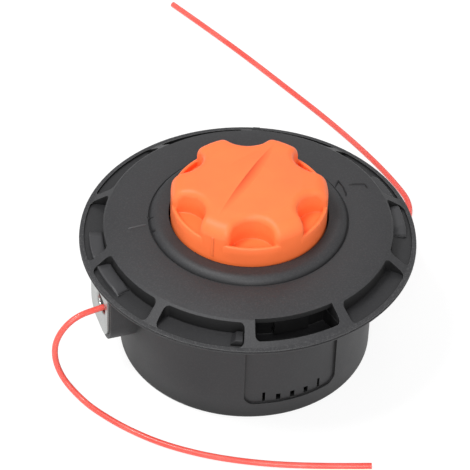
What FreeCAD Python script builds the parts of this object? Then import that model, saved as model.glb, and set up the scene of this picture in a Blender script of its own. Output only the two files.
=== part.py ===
import FreeCAD, Part
import math
import os
import Sketcher
from FreeCAD import Placement, Rotation, Vector

# Bump-feed trimmer head, standing on the arbor side of its drum with the bump knob up.
# The origin is the middle of the drum's foot, +Z points at the knob, and X runs
# through the two line eyelets. All sizes are millimetres and degrees. A size given as
# text is worked out from the others.

SIZES = [
    # Clearances
    ("fit_gap", 0.1, "clearance round moulded-in and pressed pieces"),
    ("seat_gap", 0.3, "clearance between seated faces"),
    ("running_gap", 0.1, "clearance between bush and post"),
    # Arbor and post
    ("thread_radius", 4.325, "minor radius of the M10 x 1.25 left-hand thread"),
    ("insert_flats", 19.0, "arbor insert across its flats"),
    ("insert_length", 14.0, "length of the arbor insert"),
    ("insert_setback", 0.4, "insert below the hub face"),
    ("shaft_bore", 5.3, "clearance for the end of the shaft"),
    ("hub_wall", 2.4, "wall round the corners of the arbor insert"),
    ("hub_radius", "insert_flats / sqrt(3) + fit_gap + hub_wall", "boss of the arbor insert"),
    ("hub_roof", 5.5, "boss above the arbor insert"),
    ("hub_height", "insert_setback + insert_length + fit_gap + hub_roof", "top of that boss"),
    ("hub_face_width", 2.0, "hub face beyond the boss"),
    ("hub_face_radius", "hub_radius + hub_face_width", "face round the arbor insert"),
    ("post_radius", 9.0, "post that the spool turns and slides on"),
    ("post_height", 41.0, "top of the post"),
    ("post_cap", 2.5, "closed end of the post"),
    # Spool
    ("bush_wall", 1.8, "wall of the bush"),
    ("sleeve_wall", 3.1, "wall of the sleeve round the bush"),
    ("sleeve_radius", "post_radius + running_gap + bush_wall + sleeve_wall", "that sleeve"),
    ("wire_radius", 0.9, "radius of the spring wire"),
    ("spring_play", 2.6, "room inside and outside the spring"),
    ("spring_radius", "sleeve_radius + spring_play + wire_radius", "middle of the wire"),
    ("spring_turns", 5.0, "turns of the spring"),
    ("spring_cavity", "spring_radius + wire_radius + spring_play", "room for the spring"),
    ("washer_play", 0.6, "clearance inside and outside the spring washer"),
    ("washer_inner", "sleeve_radius + washer_play", "inner radius of the washer"),
    ("washer_outer", "spring_cavity - washer_play", "outer radius of the washer"),
    ("washer_thickness", 1.0, "thickness of the spring washer"),
    ("socket_step", 2.2, "socket for the knob beyond the spring room"),
    ("socket_radius", "spring_cavity + socket_step", "socket for the knob"),
    ("key_depth", 1.6, "depth of a drive key in the core"),
    ("key_angle", 6.0, "half angle of a key slot"),
    ("key_play", 0.8, "angle between a drive key and the side of its slot"),
    ("key_height", 9.0, "height of a drive key"),
    ("core_wall", 1.2, "core outside the key slots"),
    ("core_radius", "socket_radius + key_depth + core_wall", "core that holds the line"),
    ("winding_depth", 10.0, "depth of the wound line"),
    ("winding_radius", "core_radius + winding_depth", "outside of the wound line"),
    ("web_height", 30.0, "underside of the web that the spring pushes"),
    ("web_thickness", 3.0, "web inside the core"),
    ("sleeve_drop", 3.0, "sleeve below the web"),
    ("sleeve_bottom", "web_height - sleeve_drop", "lower end of the sleeve"),
    ("sleeve_rise", 11.0, "sleeve above the web"),
    ("sleeve_top", "web_height + web_thickness + sleeve_rise", "upper end of the sleeve"),
    ("spool_flange", 2.0, "thickness of the spool's flanges"),
    ("spool_clearance", 1.8, "spool above the floor when bumped"),
    ("bump_travel", 6.0, "travel of the knob and spool when bumped"),
    ("line_radius", 1.2, "radius of the cutting line"),
    ("turn_bulge", 0.62, "curve of a wound turn as a share of its pitch"),
    # Knob
    ("stem_play", 0.6, "clearance of the stem in its socket"),
    ("stem_radius", "socket_radius - stem_play", "stem of the knob"),
    ("stem_wall", 2.2, "wall of the stem"),
    ("stem_lift", 4.0, "stem above the web"),
    ("stem_bottom", "web_height + web_thickness + stem_lift", "lower end of the stem"),
    ("cap_reach", 7.4, "knob outside its stem"),
    ("knob_radius", "stem_radius + cap_reach", "outer radius of the knob"),
    ("knob_wall", 2.2, "skirt of the knob"),
    ("knob_crown", 28.25, "top of the knob above the deck"),
    ("crown_flat", 9.0, "flat middle of the knob's top"),
    ("crown_bend", 10.0, "knob's edge from where its top falls more steeply"),
    ("crown_fall", 0.8, "fall of the knob's top at the bend"),
    ("crown_drop", 2.3, "fall of the knob's top at its edge"),
    ("knob_round", 6.0, "edge of the knob's top"),
    ("skirt_bottom", 4.4, "lower edge of the knob above the deck"),
    ("knob_ceiling", 14.4, "underside of the finger hollows above the deck"),
    ("hollow_radius", 8.7, "radius of a finger hollow"),
    ("hollow_floor", 16.6, "floor of a finger hollow above the deck"),
    ("hollow_rim", 18.8, "rim in front of a finger hollow above the deck"),
    ("hollow_wall", 1.4, "wall in front of a finger hollow"),
    ("hollow_wall_angle", 19.0, "half angle of the wall in front of a finger hollow"),
    ("hollow_edge", 2.5, "rounding of a finger hollow's upper edge"),
    ("wall_round", 0.5, "rounding on top of that wall"),
    ("knob_turn", 13.5, "turn of the finger hollows from the X axis"),
    ("skirt_rib_turn", 210.5, "place of the small rib on the knob's skirt"),
    ("skirt_rib_angle", 0.9, "half angle of that rib"),
    ("skirt_rib_bottom", 12.6, "lower end of that rib above the deck"),
    ("skirt_rib_top", 21.3, "upper end of that rib above the deck"),
    ("skirt_rib_proud", 0.35, "how far that rib stands out"),
    # Cover: middle
    ("deck_height", 51.25, "top of the drum wall and of the flange next to it"),
    ("knob_play", 0.7, "gap round the knob"),
    ("knob_hole", "knob_radius + knob_play", "hole for the knob"),
    ("collar_wall", 1.6, "collar round the knob hole"),
    ("collar_depth", 6.3, "height of the collar"),
    ("collar_rise", 10.55, "top of the collar above the deck"),
    ("collar_top", 3.9, "flat top of the collar"),
    ("collar_edge", 3.4, "rounded edge of the collar"),
    ("collar_round", 3.6, "radius of that edge"),
    ("collar_foot", "knob_hole + collar_top + collar_edge", "radius of the collar's foot"),
    ("collar_drop", 2.5, "collar above the surface round it"),
    ("groove_width", 0.6, "groove round the collar"),
    ("groove_depth", 0.4, "depth of the groove round the collar"),
    ("dome_radius", 58.0, "curve of the cover between collar and shoulder"),
    ("cover_plate", 2.2, "thickness of the cover"),
    # Ratchet
    ("ratchet_play", 0.9, "ratchet outside the collar"),
    ("ratchet_inner", "knob_hole + collar_wall + ratchet_play", "inner radius of the ratchet"),
    ("ratchet_width", 6.2, "width of the ratchet"),
    ("ratchet_outer", "ratchet_inner + ratchet_width", "outer radius of the ratchet"),
    ("ratchet_land", 1.0, "flat face outside the ratchet"),
    ("tooth_half_width", 4.0, "half width of a ratchet tooth"),
    ("tooth_height", 4.0, "height of a ratchet tooth"),
    ("tooth_steep", 0.4, "lean of the driving face of a tooth"),
    ("tooth_slope", 3.2, "length of the sloped face of a tooth"),
    # Drum
    ("flange_margin", 5.0, "spool's flange outside its ratchet"),
    ("spool_radius", "ratchet_outer + flange_margin", "flanges of the spool"),
    ("spool_play", 2.8, "gap between spool and drum"),
    ("drum_inside", "spool_radius + spool_play", "inside radius of the drum"),
    ("drum_wall", 2.4, "wall of the drum"),
    ("drum_radius", "drum_inside + drum_wall", "outer radius of the drum under its flange"),
    ("drum_draft", 0.4, "how much smaller the radius is at the foot"),
    ("floor_thickness", 2.6, "floor of the drum"),
    ("foot_depth", 1.6, "depth of the ribbed recess under the drum"),
    ("foot_width", 5.2, "width of the ring that the drum stands on"),
    ("foot_round", 1.8, "rounding of the foot's outer edge"),
    ("under_rib_width", 2.0, "ribs in the recess under the drum"),
    ("panel_turn", 3.4, "turn of the side panels from the Y axis"),
    ("panel_angle", 22.5, "half angle of a side panel"),
    ("panel_depth", 0.8, "depth of a side panel at the foot"),
    ("panel_bottom", 7.8, "lower edge of a side panel"),
    ("panel_round", 4.0, "lower corners of a side panel"),
    ("vent_pitch", 6.75, "angle from one vent slot to the next"),
    ("vent_sill", 8.4, "lower end of the vent slots"),
    ("tall_vent_angle", 1.3, "width of the two outer vents"),
    ("tall_vent_height", 4.6, "height of the two outer vents"),
    ("short_vent_angle", 2.1, "width of the three inner vents"),
    ("short_vent_height", 3.0, "height of the three inner vents"),
    # Cover: rim
    ("shoulder_reach", 5.3, "cover's shoulder outside the drum"),
    ("shoulder_radius", "drum_radius + shoulder_reach", "shoulder of the cover"),
    ("shoulder_rise", 6.25, "shoulder of the cover above the deck"),
    ("window_step", 0.8, "windows outside the shoulder"),
    ("window_inner", "shoulder_radius + window_step", "inner radius of the windows"),
    ("window_width", 7.5, "width of the windows"),
    ("window_outer", "window_inner + window_width", "outer radius of the windows"),
    ("window_fall", 0.3, "window's outer edge below the deck"),
    ("window_rim", 1.7, "rim outside the windows"),
    ("cover_radius", "window_outer + window_rim", "outer radius of the cover"),
    ("cover_edge", 0.75, "top edge of the cover above the flange lip"),
    ("rim_tilt", 0.2, "underside of that rim above its outer edge"),
    ("window_round", 2.0, "corners of the windows"),
    ("rib_angle", 3.9, "rib between two windows"),
    ("skirt_wall", 2.4, "skirt that stands on the flange"),
    ("spigot_wall", 1.9, "spigot that centres the cover in the drum"),
    ("spigot_depth", 3.4, "spigot below the deck"),
    ("spigot_top", 1.5, "cover above the spigot"),
    ("flank_plate", 2.1, "cover above the latch windows' cavities"),
    # Flange
    ("rim_setback", 0.1, "cover inside the flange's edge"),
    ("rim_radius", "cover_radius + rim_setback", "outer radius of the housing flange"),
    ("flange_thickness", 2.35, "flange next to the drum"),
    ("lip_thickness", 0.6, "flange at its outer edge"),
    ("rim_fall", 1.3, "how far the flange falls towards its edge"),
    ("flat_reach", 5.0, "level part of the flange outside the drum"),
    ("pad_width", 4.9, "pads over the bosses"),
    ("pad_rise", 0.7, "pads above the deck"),
    ("pad_angle", 18.0, "half angle of a pad"),
    ("pad_margin", 1.0, "angle of the relief beyond a pad"),
    ("pad_bevel", 0.6, "height of the slope at each end of a pad"),
    ("pad_slope", 4.5, "length of that slope"),
    ("ramp_step", 1.0, "small ramps outside the pads' inner edge"),
    ("ramp_width", 5.2, "width of the two small ramps"),
    ("ramp_rise", 2.0, "small ramps above the deck"),
    ("ramp_start", 65.4, "where the first ramp starts from the X axis"),
    ("ramp_end", 69.5, "where the first ramp ends from the X axis"),
    ("ramp_bevel", 1.8, "slope of a ramp"),
    # Latches
    ("latch_step", 0.4, "latch windows inside the shoulder"),
    ("latch_window_inner", "shoulder_radius - latch_step", "inner radius of the latch windows"),
    ("latch_band", 1.9, "rim outside the latch windows"),
    ("latch_window_outer", "window_outer - latch_band", "outer radius of the latch windows"),
    ("latch_angle", 7.5, "half angle of a latch hook"),
    ("latch_play", 0.7, "angle between a hook and the side of its slot"),
    ("latch_gap", 0.4, "gap between a hook and the drum"),
    ("latch_arm", 1.5, "thickness of a hook"),
    ("latch_lip", 1.9, "height of a hook's lip"),
    ("latch_end", 0.5, "lip short of the drum's inside"),
    ("latch_lift", 1.0, "hook above the floor of its pocket"),
    ("latch_root", 0.6, "hook below the shoulder"),
    ("pocket_depth", 6.2, "floor of a latch pocket below the deck"),
    ("pocket_wall", 1.5, "wall of a latch pocket"),
    ("pocket_slope", 4.4, "how far a pocket's outer wall leans in"),
    ("pocket_angle", 16.2, "half angle of a latch pocket"),
    ("pocket_ends", 1.6, "angle of a pocket's end wall"),
    # Eyelets
    ("boss_depth", 9.3, "eyelet boss outside the drum"),
    ("boss_reach", "drum_radius + boss_depth", "distance of the boss face from the axis"),
    ("eyelet_half_width", 10.8, "half width of the eyelet plate"),
    ("eyelet_height", 33.0, "height of the line slot"),
    ("eyelet_drop", 12.7, "eyelet plate below the line slot"),
    ("eyelet_bottom", "eyelet_height - eyelet_drop", "lowest point of the eyelet plate"),
    ("eyelet_margin", 1.3, "eyelet plate below the flange"),
    ("eyelet_top", "deck_height - flange_thickness - eyelet_margin", "top of the plate"),
    ("eyelet_round", 7.0, "lower corners of the eyelet plate"),
    ("eyelet_plate", 1.6, "thickness of the eyelet plate"),
    ("eyelet_proud", 0.9, "how far the plate stands out of its boss"),
    ("eyelet_offset", 2.5, "middle of the line slot beside the X axis"),
    ("slot_half_length", 2.0, "half distance between the slot's end arcs"),
    ("slot_radius", 3.0, "end arcs of the line slot"),
    ("slot_flare", 0.9, "flare of the line slot"),
    ("tube_wall", 1.3, "sleeve of the eyelet behind its plate"),
    ("boss_side", 2.0, "boss beside the eyelet plate"),
    ("boss_half_width", "eyelet_half_width + boss_side", "half width of an eyelet boss"),
    ("boss_margin", 2.3, "boss below the eyelet plate"),
    ("boss_bottom", "eyelet_bottom - boss_margin", "lowest point of a boss"),
    ("boss_round", 9.5, "lower corners of a boss"),
]

WINDOW_COUNT = 10
UNDER_RIB_COUNT = 10
TOOTH_COUNT = 12
HOLLOW_COUNT = 6
KEY_COUNT = 4
LATCH_WINDOWS = (2, 7)
LATCH_TURNS = (90, 270)
PAD_TURNS = (0, 180)

# The lines leave their eyelets, curve down to the floor and lie there. The routes
# were chosen by hand: each is straight runs through these points.
LINE_LEFT_ROUTE = [
    (-51.8, -2.5, 31.5),
    (-61.6, -3.4, 31.5),
    (-71.4, -4.5, 30.3),
    (-78.5, -5.7, 23.2),
    (-80.6, -8.9, 16.2),
    (-78.1, -11.7, 6.7),
    (-73.1, -18.6, 1.25),
    (-69.2, -27.3, 1.25),
    (-60.2, -40.9, 1.25),
    (-47.4, -54.4, 1.25),
    (-28.8, -67.1, 1.25),
    (-3.0, -78.5, 1.25),
    (22.0, -85.7, 1.25),
]
LINE_RIGHT_ROUTE = [
    (51.9, 2.6, 31.5),
    (61.0, 3.8, 31.5),
    (68.4, 8.8, 29.0),
    (73.0, 15.8, 22.6),
    (76.4, 22.8, 14.6),
    (80.6, 29.4, 6.2),
    (84.1, 39.0, 1.25),
    (90.3, 51.0, 1.25),
    (88.5, 66.2, 1.25),
    (84.1, 85.4, 1.25),
    (76.2, 110.7, 1.25),
    (65.3, 139.5, 1.25),
    (51.5, 175.2, 1.25),
    (36.4, 209.0, 1.25),
]


class Size:
    """A number that keeps the sheet formula it was worked out from."""

    def __init__(self, value, text):
        self.value = float(value)
        self.text = text

    def joined(self, other, sign, value, swap=False):
        first, second = self.text, plain(other).text
        if swap:
            first, second = second, first
        return Size(value, f"({first} {sign} {second})")

    def __add__(self, other):
        return self.joined(other, "+", self.value + plain(other).value)

    def __radd__(self, other):
        return self.joined(other, "+", self.value + plain(other).value, True)

    def __sub__(self, other):
        return self.joined(other, "-", self.value - plain(other).value)

    def __rsub__(self, other):
        return self.joined(other, "-", plain(other).value - self.value, True)

    def __mul__(self, other):
        return self.joined(other, "*", self.value * plain(other).value)

    def __rmul__(self, other):
        return self.joined(other, "*", self.value * plain(other).value, True)

    def __truediv__(self, other):
        return self.joined(other, "/", self.value / plain(other).value)

    def __neg__(self):
        return Size(-self.value, f"(0 - {self.text})")


def plain(number):
    """Any number as a Size."""
    if isinstance(number, Size):
        return number
    return Size(number, repr(float(number)))


class Sheet:
    """The driving sizes, each an attribute that is bound to its cell."""

    def __init__(self, document, rows):
        cells = document.addObject("Spreadsheet::Sheet", "Sizes")
        for row, (alias, value, meaning) in enumerate(rows, start=1):
            cells.set(f"A{row}", meaning)
            cells.set(f"B{row}", "0")
            cells.setAlias(f"B{row}", alias)
        document.recompute()
        for row, (alias, value, meaning) in enumerate(rows, start=1):
            cells.set(f"B{row}", f"={value}")
        document.recompute()
        for alias, value, meaning in rows:
            setattr(self, alias, Size(cells.get(alias), f"Sizes.{alias}"))


doc = FreeCAD.newDocument("trimmer_head")
size = Sheet(doc, SIZES)


def bind(item, path, amount):
    """Drive one property of a feature by a formula of the sheet."""
    item.setExpression(path, plain(amount).text)


def origin(body, role):
    """One of the body's own base planes or axes."""
    for feature in body.Origin.OriginFeatures:
        if feature.Role == role:
            return feature
    raise ValueError(role)


def new_body(name):
    body = doc.addObject("PartDesign::Body", name)
    body.Label = name
    return body


def new_sketch(body, name, plane, lift=0.0):
    """A sketch on a base plane of the body, lifted along the plane's normal."""
    sketch = body.newObject("Sketcher::SketchObject", name)
    sketch.AttachmentSupport = [(origin(body, plane), "")]
    sketch.MapMode = "FlatFace"
    sketch.AttachmentOffset = Placement(Vector(0, 0, plain(lift).value), Rotation())
    bind(sketch, "AttachmentOffset.Base.z", lift)
    return sketch


def turned_sketch(body, name, reach, turn):
    """An upright sketch that faces outwards at a distance and angle from the axis."""
    sketch = body.newObject("Sketcher::SketchObject", name)
    sketch.AttachmentSupport = [(origin(body, "YZ_Plane"), "")]
    sketch.MapMode = "FlatFace"
    along, across = math.cos(math.radians(turn)), math.sin(math.radians(turn))
    start = Vector(reach.value * across, 0, reach.value * along)
    sketch.AttachmentOffset = Placement(start, Rotation(Vector(0, 1, 0), turn))
    bind(sketch, "AttachmentOffset.Base.x", reach * across)
    bind(sketch, "AttachmentOffset.Base.z", reach * along)
    return sketch


def pinned(sketch, edge, end, axis, place):
    """A dimension that holds a point at a signed distance from the sketch's origin."""
    place = plain(place)
    if abs(place.value) < 1e-9:
        base = -2 if axis == "DistanceX" else -1
        sketch.addConstraint(Sketcher.Constraint("PointOnObject", edge, end, base))
        return
    if place.value > 0:
        rule = Sketcher.Constraint(axis, -1, 1, edge, end, place.value)
        text = place.text
    else:
        rule = Sketcher.Constraint(axis, edge, end, -1, 1, -place.value)
        text = (-place).text
    index = sketch.addConstraint(rule)
    sketch.setExpression(f"Constraints[{index}]", text)


def arc_between(first, second, radius):
    """The arc of a radius from one point to the next, and whether it runs backwards."""
    start, finish = Vector(*first, 0), Vector(*second, 0)
    chord = finish - start
    rise = math.sqrt(radius ** 2 - (chord.Length / 2) ** 2)
    side = Vector(-chord.y, chord.x, 0).normalize()
    centre = (start + finish) * 0.5 + side * math.copysign(rise, radius)
    backwards = radius < 0
    if backwards:
        start, finish = finish, start
    a = math.atan2(start.y - centre.y, start.x - centre.x)
    b = math.atan2(finish.y - centre.y, finish.x - centre.x)
    circle = Part.Circle(centre, Vector(0, 0, 1), abs(radius))
    return Part.ArcOfCircle(circle, a, b), backwards


def outline(sketch, points):
    """A closed outline through points (u, v), all bound to the sheet. A third value
    makes the edge to the next point an arc: its centre is on the left if positive."""
    places = [(plain(p[0]), plain(p[1])) for p in points]
    flat = [(u.value, v.value) for u, v in places]
    first = len(sketch.Geometry)
    ends = []
    arcs = []
    for i, point in enumerate(points):
        here, there = flat[i], flat[(i + 1) % len(points)]
        if len(point) == 3:
            arc, backwards = arc_between(here, there, plain(point[2]).value)
            sketch.addGeometry(arc, False)
            ends.append((2, 1) if backwards else (1, 2))
            arcs.append((first + i, point[2] if plain(point[2]).value > 0 else -point[2]))
        else:
            sketch.addGeometry(Part.LineSegment(Vector(*here, 0), Vector(*there, 0)), False)
            ends.append((1, 2))
    for i in range(len(points)):
        after = (i + 1) % len(points)
        rule = ("Coincident", first + i, ends[i][1], first + after, ends[after][0])
        sketch.addConstraint(Sketcher.Constraint(*rule))
    for edge, radius in arcs:
        index = sketch.addConstraint(Sketcher.Constraint("Radius", edge, plain(radius).value))
        sketch.setExpression(f"Constraints[{index}]", plain(radius).text)
    for i, (u, v) in enumerate(places):
        pinned(sketch, first + i, ends[i][0], "DistanceX", u)
        pinned(sketch, first + i, ends[i][0], "DistanceY", v)
    return sketch


def sectors(sketch, inner, outer, spans):
    """Ring sectors between two radii, one for each span of angles."""
    for span in spans:
        low, high = plain(span[0]), plain(span[1])
        a, b = math.radians(low.value), math.radians(high.value)
        first = len(sketch.Geometry)
        for radius in (inner, outer):
            circle = Part.Circle(Vector(), Vector(0, 0, 1), radius.value)
            sketch.addGeometry(Part.ArcOfCircle(circle, a, b), False)
        for angle in (a, b):
            way = Vector(math.cos(angle), math.sin(angle), 0)
            sketch.addGeometry(Part.LineSegment(way * inner.value, way * outer.value), False)
        inside, outside, side_a, side_b = range(first, first + 4)
        for rule in (
            ("Coincident", inside, 3, -1, 1),
            ("Coincident", outside, 3, -1, 1),
            ("Coincident", inside, 1, side_a, 1),
            ("Coincident", outside, 1, side_a, 2),
            ("Coincident", inside, 2, side_b, 1),
            ("Coincident", outside, 2, side_b, 2),
            ("PointOnObject", -1, 1, side_a),
            ("PointOnObject", -1, 1, side_b),
        ):
            sketch.addConstraint(Sketcher.Constraint(*rule))
        for edge, radius in ((inside, inner), (outside, outer)):
            index = sketch.addConstraint(Sketcher.Constraint("Radius", edge, radius.value))
            sketch.setExpression(f"Constraints[{index}]", radius.text)
        for edge, angle in ((side_a, low), (side_b, high)):
            index = sketch.addConstraint(
                Sketcher.Constraint("Angle", edge, math.radians(angle.value)))
            sketch.setExpression(f"Constraints[{index}]", f"({angle.text}) * 1 deg")
    return sketch


def around(middle, half):
    """A span of angles on both sides of a middle."""
    return (middle - half, middle + half)


def changed(body, before, sign):
    """Check that the last feature added or removed material."""
    doc.recompute()
    gain = body.Shape.Volume - before
    if gain * sign <= 0:
        raise RuntimeError(f"{body.Tip.Name} of {body.Label} changed the volume by {gain:.3f}")


def volume(body):
    doc.recompute()
    return body.Shape.Volume if body.Tip and body.Tip.isDerivedFrom("PartDesign::Feature") else 0.0


def pad(body, sketch, length, down=False):
    before = volume(body)
    feature = body.newObject("PartDesign::Pad", sketch.Name + "_pad")
    feature.Profile = sketch
    bind(feature, "Length", length)
    feature.Reversed = down
    sketch.Visibility = False
    changed(body, before, 1)
    return feature


def pocket(body, sketch, length, up=False):
    """Cut against the sketch's normal, or along it."""
    before = volume(body)
    feature = body.newObject("PartDesign::Pocket", sketch.Name + "_pocket")
    feature.Profile = sketch
    bind(feature, "Length", length)
    feature.Reversed = up
    sketch.Visibility = False
    changed(body, before, -1)
    return feature


def turned(body, sketch, angle=None):
    """A solid of revolution about the Z axis, or a part of one round its sketch."""
    before = volume(body)
    feature = body.newObject("PartDesign::Revolution", sketch.Name + "_turned")
    feature.Profile = sketch
    feature.ReferenceAxis = (sketch, ["V_Axis"])
    feature.Angle = 360
    if angle:
        feature.Midplane = True
        bind(feature, "Angle", angle)
    sketch.Visibility = False
    changed(body, before, 1)
    return feature


def grooved(body, sketch, angle):
    """A cut that is turned about the Z axis, with its sketch in the middle."""
    before = volume(body)
    feature = body.newObject("PartDesign::Groove", sketch.Name + "_groove")
    feature.Profile = sketch
    feature.ReferenceAxis = (sketch, ["V_Axis"])
    feature.Midplane = True
    bind(feature, "Angle", angle)
    sketch.Visibility = False
    changed(body, before, -1)
    return feature


def repeat(body, features, count):
    """Copies of features, evenly spaced about the Z axis."""
    pattern = body.newObject("PartDesign::PolarPattern", features[0].Name + "_ring")
    pattern.Originals = features
    pattern.Axis = (origin(body, "Z_Axis"), [""])
    pattern.Angle = 360
    pattern.Occurrences = count
    body.Tip = pattern
    doc.recompute()
    return pattern


def matching_edges(body, test):
    """The names of the body's edges that pass a test."""
    doc.recompute()
    return [f"Edge{i}" for i, edge in enumerate(body.Shape.Edges, start=1) if test(edge)]


def rounded(body, name, test, radius):
    edges = matching_edges(body, test)
    if not edges:
        raise RuntimeError(f"no edges for {name} of {body.Label}")
    base = body.Tip
    feature = body.newObject("PartDesign::Fillet", name)
    feature.Base = (base, edges)
    bind(feature, "Radius", radius)
    doc.recompute()
    return feature


def bevelled(body, name, test, amount, length=None):
    """Bevel the edges. With a length, the bevel is a slope of that length."""
    edges = matching_edges(body, test)
    if not edges:
        raise RuntimeError(f"no edges for {name} of {body.Label}")
    base = body.Tip
    feature = body.newObject("PartDesign::Chamfer", name)
    feature.Base = (base, edges)
    bind(feature, "Size", amount)
    if length is not None:
        feature.ChamferType = "Two distances"
        bind(feature, "Size2", length)
    doc.recompute()
    return feature


def polar(point):
    """Radius, angle in degrees and height of a point."""
    angle = math.degrees(math.atan2(point.y, point.x)) % 360
    return math.hypot(point.x, point.y), angle, point.z


def same_angle(first, second, period):
    """Whether two angles in degrees agree, whole periods apart."""
    apart = (first - second) % period
    return min(apart, period - apart) < 0.01


def is_upright(edge):
    """Whether an edge is a straight line along Z."""
    if edge.Degenerated or not isinstance(edge.Curve, Part.Line):
        return False
    a, b = (vertex.Point for vertex in edge.Vertexes)
    return math.hypot(a.x - b.x, a.y - b.y) < 1e-3


def is_circle(edge, radius, height):
    """Whether an edge is a whole or part circle about Z of a radius and height."""
    if edge.Degenerated or not isinstance(edge.Curve, Part.Circle):
        return False
    curve = edge.Curve
    off_axis = math.hypot(curve.Center.x, curve.Center.y)
    return off_axis < 1e-3 and abs(curve.Radius - radius) < 1e-2 and abs(curve.Center.z - height) < 1e-2


# Sizes that several pieces share
FLOOR_TOP = size.foot_depth + size.floor_thickness
FLANGE_UNDER = size.deck_height - size.flange_thickness
LIP_TOP = size.deck_height - size.rim_fall
COLLAR_TOP = size.deck_height + size.collar_rise
COVER_UNDER = COLLAR_TOP - size.collar_drop - size.cover_plate
SPOOL_TOP = COVER_UNDER - size.tooth_height - size.seat_gap
SPOOL_BOTTOM = FLOOR_TOP + size.spool_clearance + size.bump_travel
SKIRT_OUTSIDE = size.window_inner - size.seat_gap
SKIRT_INSIDE = SKIRT_OUTSIDE - size.skirt_wall
BUSH_RADIUS = size.post_radius + size.running_gap + size.bush_wall
KNOB_TOP = size.deck_height + size.knob_crown
PAD_INNER = SKIRT_OUTSIDE + size.seat_gap + size.fit_gap
LATCH_BOTTOM = size.deck_height - size.pocket_depth + size.latch_lift
PLATE_BACK = size.boss_reach + size.eyelet_proud - size.eyelet_plate
HALF_TURN = 180.0


def u_shape(half, bottom, top, corner):
    """A plate outline with two rounded lower corners."""
    return [
        (-half, top),
        (-half, bottom + corner, corner),
        (-half + corner, bottom),
        (half - corner, bottom, corner),
        (half, bottom + corner),
        (half, top),
    ]


def slot_shape(extra):
    """The line slot, made larger all round by an extra amount."""
    radius = size.slot_radius + extra
    left = size.eyelet_offset - size.slot_half_length
    right = size.eyelet_offset + size.slot_half_length
    middle = size.eyelet_height
    return [
        (right, middle - radius, radius),
        (right + radius, middle, radius),
        (right, middle + radius),
        (left, middle + radius, radius),
        (left - radius, middle, radius),
        (left, middle - radius),
    ]


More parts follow.
